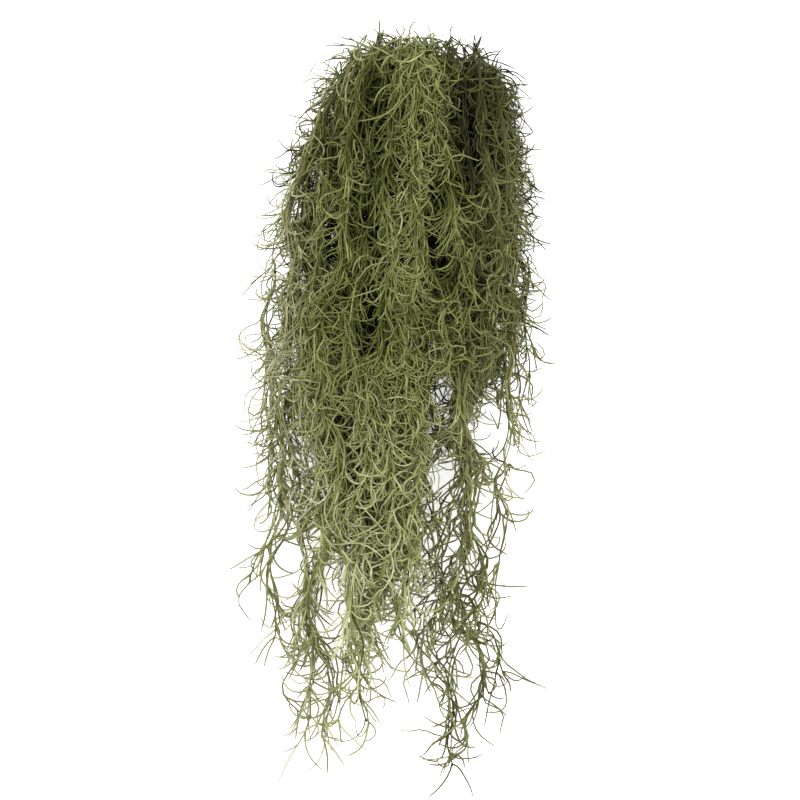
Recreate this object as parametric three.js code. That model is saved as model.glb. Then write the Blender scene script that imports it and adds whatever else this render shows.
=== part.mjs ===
import * as THREE from "three";

// A bunch of Spanish moss, lying on its back on a flat surface. The crown, where the strands are bent over
// each other, points to +Y, and the loose tips trail to -Y. The strands lie together in locks: each lock is one
// slim three-sided stem with stars of curved needle leaves raised from its faces. All lengths are millimetres.

// ---- The whole bunch ----
const CROWN_Y = 379; // the crown's outer edge; "down" is counted from here towards the tips
const TABLE_START = 10; // how far down the first row of the tables below lies
const TABLE_STEP = 100; // distance down between two rows

// Six guide lines run down the bunch from its left edge to its right edge. Each gives the line's X at every
// row, and "across" is its place between the two edges, from 0 to 1. The lines at 0.61 and 0.66 part on the way
// down, which splits the bunch into its broad left tail and its slim right tail.
const GUIDES = [
  { across: 0.0, x: [-46, -86, -112, -132, -130, -126, -114, -88] },
  { across: 0.24, x: [-14, -40, -60, -71, -72, -71, -68, -58] },
  { across: 0.61, x: [22, 28, 29, 29, 28, 12, -4, -12] },
  { across: 0.66, x: [36, 46, 56, 60, 60, 48, 36, 52] },
  { across: 0.82, x: [66, 82, 90, 94, 94, 84, 74, 72] },
  { across: 1.0, x: [88, 112, 126, 136, 130, 114, 98, 86] },
];

const PILE_HEIGHT = [66, 88, 92, 90, 80, 64, 46, 30]; // of the top stems over the surface, at every row
const SIDE_HEIGHT = 0.45; // height at the two side edges, as a share of the height in the middle
const TAIL_REACH = [615, 690, 725, 715, 700, 685, 635, 685, 730, 685, 575]; // longest stems, from edge to edge

// ---- The crown ----
const CROWN_INSET = 22; // from the crown's outer edge to the foremost stem, in the middle
const SHOULDER_DROP = 34; // how much further down the crown starts at the side edges
const BEND_REACH = 46; // depth of the bend that the outer stems make over the crown

// ---- The layers of locks, from the surface up ----
// lift is the height in the pile from 0 to 1, bend the depth of the bend at the crown as a share of
// BEND_REACH, from the angle in degrees at which the bend starts, 0 being the crown's front and 90 the run,
// edge how far the outermost locks lie in from the side edges, and leaves the leaves of one joint.
const LAYERS = [
  { name: "under", lift: 0.0, bend: 0.74, from: 14, count: 9, edge: 0.025, leaves: 3 },
  { name: "lower", lift: 0.25, bend: 0.3, from: 45, count: 8, edge: 0.07, leaves: 3 },
  { name: "inner", lift: 0.5, bend: 0.0, from: 90, count: 6, edge: 0.1, leaves: 3 },
  { name: "upper", lift: 0.75, bend: 0.52, from: 5, count: 8, edge: 0.07, leaves: 3 },
  { name: "top", lift: 1.0, bend: 1.0, from: -4, count: 10, edge: 0.03, leaves: 4 },
];
const GOLDEN_SHARE = (Math.sqrt(5) - 1) / 2; // spreads long and short locks evenly over the width
const FIRST_RANK = [0.3, 0.7, 0.45, 0.1, 0.55]; // where each layer starts in that order
const SHORTEST = 0.5; // the shortest locks reach this share of the longest beside them
const RUN_START = 8; // a bent lock runs straight on from this far behind the middle of its bend
const INNER_START = 34; // the layer with no bend starts this far behind it

// ---- Loose strands, which have slipped out of the pile at its side edges and on its top ----
const LOOSE = [
  { across: -0.03, from: 215, to: 390, lift: 0.8 },
  { across: -0.03, from: 420, to: 590, lift: 0.6 },
  { across: 0.31, from: 560, to: 700, lift: 1.5 },
  { across: 0.9, from: 560, to: 690, lift: 1.5 },
  { across: 1.01, from: 240, to: 400, lift: 0.8 },
  { across: 1.04, from: 420, to: 560, lift: 0.6 },
];
const LOOSE_R = 1.5; // half the thickness of a loose strand's stem

// ---- One stem ----
const STEM_R = 2.6; // from the middle of the three-sided section to its corners, at the crown
const STEM_TIP_R = 1.3; // the same near the loose tip
const JOINT_STEP = 56; // from one star of leaves to the next
const BEND_STEP = 28; // the same in the bend over the crown
const JOINT_LENGTH = 2.8; // the short stretch of stem that a star grows from
const END_TAPER = 14; // the pointed end
const TWIST = (40 * Math.PI) / 180; // turn of the section from one joint to the next
const SWAY = [8, 4]; // each stem swings from side to side by this much, in a long and in a short wave
const SWAY_LENGTH = [230, 95]; // how long the two waves are
const PHASE_SPREAD = 0.35; // neighbours swing together, apart from this share of a wave
const SWAY_START = [30, 230]; // the swing grows over this stretch down the bunch
const LIFT_SWAY = 0.2; // it swings up and down by this share of the distance between two layers
const ZIGZAG = 4; // each joint lies this much out of line at most
const STAGGER = 30; // the first star of leaves lies up to this much further down

// ---- One leaf ----
const LEAF_LENGTH = [28, 42]; // shortest and longest
const LEAF_R = 0.9; // half the thickness in its middle
const SHEATH = 6; // this much of a leaf is the sheath that widens to the stem
const SHEATH_R = 2.6; // half the thickness of the sheath at the stem
const BEND_AT = 0.45; // where along the leaf it is bent
const LEAF_SPREAD = 0.8; // radians that a leaf stands aside from its face, to either side, at most
const LEAN = [-0.3, 1.0]; // radians that it leans towards the tip of the stem
const CURL = [0.6, 1.35]; // radians that its outer part turns by
const LEAF_TRIES = 40; // shapes drawn before a leaf is left out
const SHORTER = 0.8; // the later tries are leaves of this share of the length
const UNDERSIDE = 1; // the side of the stem's section that faces down
// The side and the triangle of a joint that each further leaf grows from.
const FACE_ORDER = [
  [0, 0],
  [2, 1],
  [1, 0],
  [0, 1],
  [2, 0],
  [1, 1],
];
const ALIKE = 0.75; // cosine of the least angle between two leaves of a joint
const PARTING = 0.3; // they also lean away from each other by this much
const OFF_SURFACE = 0.2; // leaves end at least this far above the surface
const CLEARANCE = 0.35; // kept between two locks
const TOUCH_GAP = 0.3; // between a leaf tip and the lock that it hooks on to
const HOOK_RANGE = 16; // a leaf tip is bent to another lock from this far away at most

// ---- Colours of the locks ----
const COLOURS = {
  bright: 0x6f7a44,
  olive: 0x575c34,
  shaded: 0x3f4224,
  pale: 0x82855c,
};

/** A number from 0 to 1 that is always the same for the same three whole numbers. */
function draw(a, b, c) {
  const mixed = Math.sin(a * 12.9898 + b * 78.233 + c * 37.719) * 43758.5453;
  return mixed - Math.floor(mixed);
}

/** The smooth value of an evenly spaced table at a place counted in its steps. */
function readTable(table, place) {
  const last = table.length - 1;
  const at = Math.min(Math.max(place, 0), last);
  const i = Math.min(Math.floor(at), last - 1);
  const f = at - i;
  const before = table[Math.max(i - 1, 0)];
  const from = table[i];
  const to = table[i + 1];
  const after = table[Math.min(i + 2, last)];
  const bow = 2 * before - 5 * from + 4 * to - after + f * (3 * (from - to) + after - before);
  return from + 0.5 * f * (to - before + f * bow);
}

const rowAt = (down) => (down - TABLE_START) / TABLE_STEP;

/** X of the flow line at a place across, from 0 to 1, this far down the bunch. */
function flowX(across, down) {
  const right = Math.max(1, GUIDES.findIndex((guide) => guide.across >= Math.min(across, 1)));
  const a = GUIDES[right - 1];
  const b = GUIDES[right];
  const share = (across - a.across) / (b.across - a.across);
  return (1 - share) * readTable(a.x, rowAt(down)) + share * readTable(b.x, rowAt(down));
}

/** Share of the full height that the pile has at a place across. */
function moundShare(across) {
  const side = 2 * across - 1;
  return SIDE_HEIGHT + (1 - SIDE_HEIGHT) * Math.sqrt(Math.max(0, 1 - side * side));
}

/** The facts of one lock: where it starts, how high it lies and how far it reaches. */
function lockAt(layer, layerIndex, index) {
  const across = layer.edge + ((1 - 2 * layer.edge) * index) / (layer.count - 1);
  const side = 2 * across - 1;
  const reach = readTable(TAIL_REACH, across * (TAIL_REACH.length - 1));
  const rank = (GOLDEN_SHARE * (index + 1) + FIRST_RANK[layerIndex]) % 1; // 0 is the longest lock, 1 the shortest
  const bendReach = BEND_REACH * moundShare(across);
  const bendDown = CROWN_INSET + SHOULDER_DROP * side * side + bendReach;
  return {
    ...layer,
    name: layer.name + "_lock_" + (index + 1),
    layerIndex,
    index,
    across,
    bendReach,
    bendDown,
    startDown: bendDown + (layer.bend > 0 ? RUN_START : INNER_START) + STAGGER * draw(layerIndex, index, 2),
    endDown: reach * (1 - (1 - SHORTEST) * rank ** 1.5),
    radius: STEM_R,
  };
}

/** The facts of one loose strand, in the same terms. */
function looseAt({ across, from, to, lift }, index) {
  const name = "loose_strand_" + (index + 1);
  const facts = { bend: 0, leaves: 3, startDown: from, endDown: to, radius: LOOSE_R };
  return { name, layerIndex: LAYERS.length, index, across, lift, ...facts };
}

/** Half the thickness of a lock's stem, this far down the bunch. */
function stemRadius(lock, down) {
  const share = THREE.MathUtils.clamp(down / lock.endDown, 0, 1);
  return lock.radius + (STEM_TIP_R - lock.radius) * share;
}

/** How far a stem has swung out of its line: -1 to 1 in the long wave, and in the short one. */
function swing(lock, down, wave) {
  const phase = draw(lock.layerIndex, 0, 3 + wave) + PHASE_SPREAD * draw(lock.layerIndex, lock.index, 5 + wave);
  const grown = THREE.MathUtils.smoothstep(down, ...SWAY_START);
  return grown * Math.sin(2 * Math.PI * (down / SWAY_LENGTH[wave] + phase));
}

/** A point on a lock's middle line: on the bend at an angle, or on the run when the angle is null. */
function lockPoint(lock, down, angle) {
  const { across, lift, bendReach, bendDown } = lock;
  let place = down;
  let height;
  if (angle === null) {
    const pile = readTable(PILE_HEIGHT, rowAt(down)) * moundShare(across);
    height = pile * (lift + (lift > 0 ? (LIFT_SWAY / (LAYERS.length - 1)) * swing(lock, down, 0) : 0));
  } else {
    const pile = readTable(PILE_HEIGHT, rowAt(bendDown)) * moundShare(across);
    place = bendDown - bendReach * lock.bend * Math.cos(angle);
    height = pile * (0.5 + (lift - 0.5) * Math.sin(angle));
  }
  const sway = SWAY[0] * swing(lock, place, 0) + SWAY[1] * swing(lock, place, 1);
  return new THREE.Vector3(flowX(across, place) + sway, CROWN_Y - place, height + stemRadius(lock, place) / 2);
}

/** The joints of a lock, each with its middle, its direction and the half thickness of the stem. */
function lockJoints(lock) {
  const { bend, bendReach, bendDown, startDown, endDown } = lock;
  const places = [];
  if (bend > 0) {
    const from = THREE.MathUtils.degToRad(lock.from);
    const turn = Math.PI / 2 - from;
    const count = Math.max(2, Math.round((bendReach * bend * turn) / BEND_STEP));
    for (let i = 0; i < count; i++) places.push([bendDown, from + (turn * i) / count]);
  }
  const steps = Math.round((endDown - startDown) / JOINT_STEP);
  for (let i = 0; i <= steps; i++) places.push([startDown + ((endDown - startDown) * i) / steps, null]);

  return places.map(([down, angle], i) => {
    const onRun = angle === null;
    const near = (way) => lockPoint(lock, down + 2 * way, onRun ? null : angle + 0.05 * way);
    const along = near(1).sub(near(-1));
    const at = lockPoint(lock, down, angle);
    at.x += (i % 2 ? 1 : -1) * (onRun ? ZIGZAG : 1) * (0.4 + 0.6 * draw(lock.layerIndex, lock.index, 10 + i));
    if (lock.lift === 0 && onRun) {
      along.z = 0; // a stem on the surface lies flat on it
      at.z = stemRadius(lock, down) / 2;
    }
    return { at, along: along.normalize(), radius: stemRadius(lock, down) };
  });
}

/** Three corners of the stem's section round a point: a flat side faces away from the section's up. */
function section(at, along, radius, turn) {
  const side = new THREE.Vector3(1, 0, 0).addScaledVector(along, -along.x).normalize();
  const up = along.clone().cross(side);
  return [0, 1, 2].map((corner) => {
    const angle = Math.PI / 2 + (2 * Math.PI * corner) / 3 + turn;
    return at
      .clone()
      .addScaledVector(side, radius * Math.cos(angle))
      .addScaledVector(up, radius * Math.sin(angle));
  });
}

/** Least distance between two tapered round rods, less their half thicknesses. */
function rodGap(p, q) {
  const u = p.b.clone().sub(p.a);
  const v = q.b.clone().sub(q.a);
  const w = p.a.clone().sub(q.a);
  const uu = u.dot(u);
  const uv = u.dot(v);
  const vv = v.dot(v);
  const uw = u.dot(w);
  const vw = v.dot(w);
  const flat = uu * vv - uv * uv;
  let s = flat > 1e-9 ? THREE.MathUtils.clamp((uv * vw - vv * uw) / flat, 0, 1) : 0;
  const t = THREE.MathUtils.clamp((uv * s + vw) / vv, 0, 1);
  s = THREE.MathUtils.clamp((uv * t - uw) / uu, 0, 1);
  const apart = w.addScaledVector(u, s).addScaledVector(v, -t).length();
  return apart - (p.ra + (p.rb - p.ra) * s) - (q.ra + (q.rb - q.ra) * t);
}

// ---- Which rods lie near a place: a grid of cells, each with the rods that pass through it ----
const CELL = 30; // the side of one cell
const WIDEST = 6; // two rods further apart than this can't touch
const cells = new Map();

function cellKeys(rod, margin) {
  const low = rod.a.clone().min(rod.b).subScalar(margin).divideScalar(CELL).floor();
  const high = rod.a.clone().max(rod.b).addScalar(margin).divideScalar(CELL).floor();
  const keys = [];
  for (let x = low.x; x <= high.x; x++)
    for (let y = low.y; y <= high.y; y++) for (let z = low.z; z <= high.z; z++) keys.push(x + "," + y + "," + z);
  return keys;
}

function addRod(rod) {
  for (const key of cellKeys(rod, 0)) {
    if (!cells.has(key)) cells.set(key, new Set());
    cells.get(key).add(rod);
  }
}

function rodsNear(rod, margin) {
  const near = new Set();
  for (const key of cellKeys(rod, margin)) for (const other of cells.get(key) ?? []) near.add(other);
  return near;
}

/** Whether a rod keeps the clearance from all others near it that aren't skipped. */
function isClear(rod, skip) {
  return [...rodsNear(rod, WIDEST)].every((other) => skip(other) || rodGap(rod, other) >= CLEARANCE);
}

/** A stem: its rings of three corners, two to a joint, and the rods that stand for it in the clearances. */
function growStem(lock) {
  const joints = lockJoints(lock);
  const rings = [];
  joints.forEach((joint, i) => {
    const turn = lock.lift === 0 ? 0 : TWIST * i;
    for (const end of [-1, 1]) {
      const at = joint.at.clone().addScaledVector(joint.along, (end * JOINT_LENGTH) / 2);
      rings.push({ at, corners: section(at, joint.along, joint.radius, turn), radius: joint.radius });
    }
  });
  const first = joints[0];
  const last = joints[joints.length - 1];
  const start = first.at.clone().addScaledVector(first.along, -END_TAPER);
  const end = last.at.clone().addScaledVector(last.along, END_TAPER);
  if (lock.lift === 0) end.z = last.radius / 2;
  const middle = [{ at: start, radius: 0 }, ...rings, { at: end, radius: 0 }];
  const rods = middle.slice(1).map((ring, i) => {
    const from = middle[i];
    return { a: from.at, b: ring.at, ra: from.radius, rb: ring.radius, lock };
  });
  return { lock, joints, rings, start, end, rods, leaves: new Map() };
}

/** The two triangles of one side of a joint, which leaves can be raised from. */
function jointFaces(stem, jointIndex, side) {
  const a = stem.rings[2 * jointIndex].corners;
  const b = stem.rings[2 * jointIndex + 1].corners;
  const next = (side + 1) % 3;
  return [
    [a[side], a[next], b[next]],
    [a[side], b[next], b[side]],
  ];
}

/** Tries leaf shapes on one face of a joint until one is clear of everything, and returns it, or null. */
function growLeaf(stem, jointIndex, side, half, sisters) {
  const { lock } = stem;
  const { along } = stem.joints[jointIndex];
  const face = jointFaces(stem, jointIndex, side)[half];
  const root = face[0].clone().add(face[1]).add(face[2]).divideScalar(3);
  const out = face[1].clone().sub(face[0]).cross(face[2].clone().sub(face[0])).normalize();
  const pick = (range, share) => range[0] + (range[1] - range[0]) * share;
  for (let attempt = 0; attempt < LEAF_TRIES; attempt++) {
    const roll = (n) => draw(16 * lock.layerIndex + lock.index, 6 * jointIndex + 2 * side + half, 7 * attempt + n);
    const length = pick(LEAF_LENGTH, roll(0)) * (attempt > LEAF_TRIES / 2 ? SHORTER : 1);
    const aim = out.clone().applyAxisAngle(along, (2 * roll(1) - 1) * LEAF_SPREAD);
    aim.applyAxisAngle(aim.clone().cross(along).normalize(), pick(LEAN, roll(2)));
    const bendAxis = aim.clone().cross(along).normalize();
    bendAxis.applyAxisAngle(aim, 2 * Math.PI * roll(3));
    const tipAim = aim.clone().applyAxisAngle(bendAxis, pick(CURL, roll(4)));
    const bend = root.clone().addScaledVector(aim, length * BEND_AT);
    const tip = bend.clone().addScaledVector(tipAim, length * (1 - BEND_AT));
    if (bend.z < LEAF_R + OFF_SURFACE || tip.z < OFF_SURFACE) continue;
    const parting = (sister) => aim.clone().sub(sister.aim).dot(root.clone().sub(sister.root).normalize());
    if (sisters.some((sister) => aim.dot(sister.aim) > ALIKE || parting(sister) < PARTING)) continue;
    const leaf = { lock, face, root, aim, bend, tip, key: [jointIndex, side, half].join() };
    const [sheath, ...blade] = leafRods(leaf);
    if (!isClear(sheath, (other) => other.lock === lock)) continue;
    if (!blade.every((rod) => isClear(rod, () => false))) continue;
    return leaf;
  }
  return null;
}

/** The three rods that stand for a leaf: its sheath, its inner and its outer part. */
function leafRods(leaf) {
  const { lock, root, bend, tip } = leaf;
  const share = SHEATH / root.distanceTo(bend);
  const sheathEnd = root.clone().lerp(bend, share);
  const endR = SHEATH_R + (LEAF_R - SHEATH_R) * share;
  return [
    { a: root, b: sheathEnd, ra: SHEATH_R, rb: endR, lock, leaf },
    { a: sheathEnd, b: bend, ra: endR, rb: LEAF_R, lock, leaf },
    { a: bend, b: tip, ra: LEAF_R, rb: 0.1, lock, leaf },
  ];
}

/** Grows the leaves of a whole stem. A stem that lies on the surface has none on its flat underside. */
function growLeaves(stem) {
  stem.joints.forEach((joint, jointIndex) => {
    const sisters = [];
    for (const [side, half] of FACE_ORDER) {
      if (sisters.length === stem.lock.leaves) break;
      if (side === UNDERSIDE && stem.lock.lift === 0) continue;
      const leaf = growLeaf(stem, jointIndex, side, half, sisters);
      if (!leaf) continue;
      sisters.push(leaf);
      stem.leaves.set(leaf.key, leaf);
      leafRods(leaf).forEach(addRod);
    }
  });
}

/** The triangles of a stem with its leaves, as corner points in threes, faces outwards. */
function stemTriangles(stem) {
  const triangles = [];
  const tube = (a, b) => {
    for (let i = 0; i < 3; i++) {
      const j = (i + 1) % 3;
      triangles.push([a[i], a[j], b[j]], [a[i], b[j], b[i]]);
    }
  };
  const point = (a, tip) => [0, 1, 2].forEach((i) => triangles.push([a[i], a[(i + 1) % 3], tip]));
  const { rings, joints } = stem;
  point([...rings[0].corners].reverse(), stem.start);
  joints.forEach((joint, jointIndex) => {
    if (jointIndex > 0) tube(rings[2 * jointIndex - 1].corners, rings[2 * jointIndex].corners);
    for (const side of [0, 1, 2]) {
      jointFaces(stem, jointIndex, side).forEach((face, half) => {
        const leaf = stem.leaves.get([jointIndex, side, half].join());
        if (!leaf) {
          triangles.push(face);
          return;
        }
        const middle = leafSection(leaf);
        tube(face, middle);
        point(middle, leaf.tip);
      });
    }
  });
  point(rings[rings.length - 1].corners, stem.end);
  return triangles;
}

/** The three corners of a leaf at its bend, turned least from the face that the leaf is raised from. */
function leafSection(leaf) {
  const [p, q, r] = leaf.face;
  const out = q.clone().sub(p).cross(r.clone().sub(p)).normalize();
  const axis = leaf.tip.clone().sub(leaf.bend).normalize().add(leaf.aim).normalize();
  const turn = new THREE.Quaternion().setFromUnitVectors(out, axis);
  return leaf.face.map((corner) => {
    const arm = corner.clone().sub(leaf.root).applyQuaternion(turn).normalize();
    return leaf.bend.clone().addScaledVector(arm, LEAF_R);
  });
}

/** The place on a lock's surface that is nearest to a point. */
function nearestOn(stem, point) {
  const nearest = new THREE.Vector3();
  const found = new THREE.Vector3();
  let best = Infinity;
  for (const [a, b, c] of stemTriangles(stem)) {
    new THREE.Triangle(a, b, c).closestPointToPoint(point, found);
    const apart = found.distanceTo(point);
    if (apart < best) {
      best = apart;
      nearest.copy(found);
    }
  }
  return nearest;
}

/**
 * Bends leaf tips so that they catch on other locks, nearest ones first, until all locks hang together. A tip
 * that has been moved, or that carries another, stays as it is from then on.
 */
function hookLocksTogether(stems) {
  const groupOf = new Map(stems.map((stem) => [stem.lock, stem.lock]));
  const groupHead = (lock) => (groupOf.get(lock) === lock ? lock : groupHead(groupOf.get(lock)));
  const stemOf = new Map(stems.map((stem) => [stem.lock, stem]));
  const candidates = [];
  for (const stem of stems) {
    for (const leaf of stem.leaves.values()) {
      const tip = { a: leaf.tip, b: leaf.tip.clone().add({ x: 0, y: 0, z: 0.01 }), ra: 0, rb: 0 };
      for (const rod of rodsNear(tip, HOOK_RANGE)) {
        if (rod.lock === leaf.lock) continue;
        const gap = rodGap(tip, rod);
        if (gap < HOOK_RANGE) candidates.push({ leaf, rod, gap });
      }
    }
  }
  candidates.sort((a, b) => a.gap - b.gap);
  const settled = new Set();
  for (const { leaf, rod } of candidates) {
    const heads = [groupHead(leaf.lock), groupHead(rod.lock)];
    if (heads[0] === heads[1] || settled.has(leaf)) continue;
    const target = stemOf.get(rod.lock);
    const seat = nearestOn(target, leaf.tip);
    const away = leaf.tip.clone().sub(seat).normalize();
    const moved = { ...leaf, tip: seat.clone().addScaledVector(away, TOUCH_GAP) };
    const outer = leafRods(moved)[2];
    const free = isClear(outer, (other) => other.leaf === leaf || other.lock === rod.lock);
    const clearOfTarget = [0.5, 0.7, 0.8, 0.9].every((share) => {
      const at = outer.a.clone().lerp(outer.b, share);
      return nearestOn(target, at).distanceTo(at) > TOUCH_GAP + LEAF_R * (1 - share);
    });
    if (!free || !clearOfTarget || moved.tip.z < OFF_SURFACE) continue;
    for (const members of cells.values()) for (const old of members) if (old.leaf === leaf) members.delete(old);
    leaf.tip = moved.tip;
    leafRods(leaf).forEach(addRod);
    settled.add(leaf);
    if (rod.leaf) settled.add(rod.leaf);
    groupOf.set(heads[0], heads[1]);
  }
  return new Set(stems.map((stem) => groupHead(stem.lock))).size;
}

/** The closed mesh of a stem with its leaves. */
function lockGeometry(stem) {
  const numbers = new Map();
  const positions = [];
  const number = (corner) => {
    if (!numbers.has(corner)) {
      numbers.set(corner, numbers.size);
      positions.push(...corner.toArray());
    }
    return numbers.get(corner);
  };
  const index = stemTriangles(stem).flatMap((triangle) => triangle.map(number));
  const geometry = new THREE.BufferGeometry();
  geometry.setAttribute("position", new THREE.Float32BufferAttribute(positions, 3));
  geometry.setIndex(index);
  geometry.computeVertexNormals();
  return geometry;
}

/** The colour of a lock: bright in the middle of the top, pale at the left tail, shaded inside and right. */
function lockTone(lock) {
  const { lift, across } = lock;
  if (lift >= 0.75 && across > 0.25 && across < 0.62) return "bright";
  if (lift === 0.5 || (lift > 0.5 && across > 0.75)) return "shaded";
  return across < 0.25 ? "pale" : "olive";
}

// ---- Grow the bunch ----
const locks = LAYERS.flatMap((layer, layerIndex) =>
  Array.from({ length: layer.count }, (_, index) => lockAt(layer, layerIndex, index)),
);
const stems = [...locks, ...LOOSE.map(looseAt)].map(growStem);
for (const stem of stems) {
  const free = stem.rods.every((rod) => isClear(rod, () => false));
  if (!free) throw new Error(stem.lock.name + " runs into another");
  stem.rods.forEach(addRod);
}
for (const stem of [...stems].reverse()) growLeaves(stem);
const groups = hookLocksTogether(stems);
if (groups > 1) throw new Error(groups + " groups of locks hang apart");

const bunch = new THREE.Group();
for (const stem of stems) {
  const color = COLOURS[lockTone(stem.lock)];
  const material = new THREE.MeshStandardMaterial({ color, roughness: 0.75, metalness: 0, flatShading: true });
  const mesh = new THREE.Mesh(lockGeometry(stem), material);
  mesh.name = stem.lock.name;
  bunch.add(mesh);
}
export default bunch;
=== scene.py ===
# %% [markdown]
# # A bunch of Spanish moss
# Spanish moss is an air plant without roots. One plant is a thin wiry stem that zigzags from joint to joint,
# with a small star of curved needle leaves at every joint. Hundreds of such strands hang together in rope-like
# locks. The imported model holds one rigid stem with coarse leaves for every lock. This lesson keeps the middle
# line of each lock and grows the fine strands round it.

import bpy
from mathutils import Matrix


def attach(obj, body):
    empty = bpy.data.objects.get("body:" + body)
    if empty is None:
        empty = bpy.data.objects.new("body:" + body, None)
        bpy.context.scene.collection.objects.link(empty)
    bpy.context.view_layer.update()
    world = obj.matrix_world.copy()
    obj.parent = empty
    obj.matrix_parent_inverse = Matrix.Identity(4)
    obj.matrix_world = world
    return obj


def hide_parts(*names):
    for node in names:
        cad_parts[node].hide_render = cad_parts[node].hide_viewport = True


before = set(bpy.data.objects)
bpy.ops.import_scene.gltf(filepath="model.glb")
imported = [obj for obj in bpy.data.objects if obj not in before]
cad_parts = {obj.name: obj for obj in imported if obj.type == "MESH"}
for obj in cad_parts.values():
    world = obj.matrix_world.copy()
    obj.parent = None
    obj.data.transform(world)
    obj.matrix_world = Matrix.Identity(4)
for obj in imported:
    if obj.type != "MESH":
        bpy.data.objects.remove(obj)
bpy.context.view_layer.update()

# %% [markdown]
# ## Helpers
# The plant is measured in millimetres, as a grower would, and turned to metres when a mesh is made. All shapes
# are numpy arrays with one row for every point, so that a thousand leaves are worked out at once. Chance comes
# from seeded draws, so the bunch is the same in every run.

# %% Import the tools and set the scale
import math

import bpy
import numpy as np
from mathutils import Vector

MM = 0.001  # metres in a millimetre
SEED = 2169
X_AXIS = np.array([1.0, 0.0, 0.0])


def unit(vectors):
    """Every vector divided by its own length. One of no length stays as it is."""
    return vectors / np.maximum(np.linalg.norm(vectors, axis=-1, keepdims=True), 1e-9)


def smooth_step(value, low, high):
    """0 at low, 1 at high, and 3t^2 - 2t^3 between them. It falls where high is below low."""
    t = np.clip((value - low) / (high - low), 0, 1)
    return t * t * (3 - 2 * t)


def bell(value, middle, width):
    """A bell curve that is 1 in the middle: e^-((value - middle) / width)^2."""
    return np.exp(-(((value - middle) / width) ** 2))


print("halfway up, a smooth step is", smooth_step(0.5, 0, 1), "and a bell", round(float(bell(0.5, 0, 1)), 2))

# %% [markdown]
# ## The flow of the bunch
# A hung bunch swells out below its crown and draws in to its tails, and all its locks flow with it. Six guide
# lines down the bunch say how, each by its X at every 100 mm. "Across" is a place between the left edge (0) and
# the right edge (1). The smooth curve through a row of values is a Catmull-Rom spline. A curve object could do
# this too, but a spline in numpy needs no solving and is read for thousands of points at once.

# %% A smooth curve through a row of values
def mixed(pair, share):
    """The first value of a pair where the share is 0, the second where it is 1, and a straight mix between."""
    return pair[0] + (pair[1] - pair[0]) * share


def read_table(table, place):
    """The Catmull-Rom value of an evenly spaced table at places counted in its steps."""
    table = np.asarray(table, float)
    last = len(table) - 1
    at = np.clip(np.asarray(place, float), 0, last)
    i = np.minimum(at.astype(int), last - 1)
    f = at - i
    before, start = table[np.maximum(i - 1, 0)], table[i]
    end, after = table[i + 1], table[np.minimum(i + 2, last)]
    bow = 2 * before - 5 * start + 4 * end - after + f * (3 * (start - end) + after - before)
    return start + 0.5 * f * (end - before + f * bow)


def across_table(table, across):
    """The value of a table that runs from the left edge of the bunch to its right edge."""
    return read_table(table, across * (len(table) - 1))


print("between 1 and 3 the curve through 0, 1, 3, 4 passes", float(read_table([0, 1, 3, 4], 1.5)))

# %% The guide lines
CROWN_Y = 379  # mm: the Y from which every distance down the bunch is counted
TABLE_START, TABLE_STEP = 10, 100  # mm down of a table's first value, and from each value to the next
GUIDE_ACROSS = [0.0, 0.24, 0.61, 0.66, 0.82, 1.0]
GUIDE_X = [
    [-46, -86, -112, -132, -130, -126, -114, -88],
    [-14, -40, -60, -71, -72, -71, -68, -58],
    [22, 28, 29, 29, 28, 12, -4, -12],
    [36, 46, 56, 60, 60, 48, 36, 52],
    [66, 82, 90, 94, 94, 84, 74, 72],
    [88, 112, 126, 136, 130, 114, 98, 86],
]


def row_at(down):
    """The place in a table for a distance down the bunch."""
    return (down - TABLE_START) / TABLE_STEP


def between_guides(table, across, down):
    """A value between two guide lines: a straight mix of what the table gives for the lines on either side."""
    right = next(i for i, a in enumerate(GUIDE_ACROSS) if a >= min(across, 1))
    right = max(1, right)
    low, high = GUIDE_ACROSS[right - 1], GUIDE_ACROSS[right]
    share = (across - low) / (high - low)
    left_value, right_value = (read_table(table[i], row_at(down)) for i in (right - 1, right))
    return (1 - share) * left_value + share * right_value


print("width in mm down the bunch:", [right - left for left, right in zip(GUIDE_X[0], GUIDE_X[-1])])

# %% The height of the pile and the reach of the tails
PILE_HEIGHT = [66, 88, 92, 90, 80, 64, 46, 30]  # mm, down the middle of the bunch
SIDE_HEIGHT = 0.45  # share of that height at the two edges
TAIL_REACH = [615, 690, 725, 715, 700, 685, 635, 685, 730, 685, 575]  # mm down of the tips, across the bunch


def mound_share(across):
    """Height of the pile across the bunch: a half ellipse on a base of SIDE_HEIGHT."""
    side = 2 * across - 1
    return SIDE_HEIGHT + (1 - SIDE_HEIGHT) * math.sqrt(max(0.0, 1 - side * side))


print("pile at the edge, a quarter in and in the middle:", [round(mound_share(a), 2) for a in (0, 0.25, 0.5)])

# %% [markdown]
# ## The locks
# Hooked leaves hold the strands together in ropes, here called locks. Five layers of locks lie over each other,
# and all but the inner ones are bent over the crown. A lock is kept as a small bag of facts, and its middle line
# is a function of the distance along it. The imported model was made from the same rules, so the fine strands lie
# where its rigid stems lie.

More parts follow.
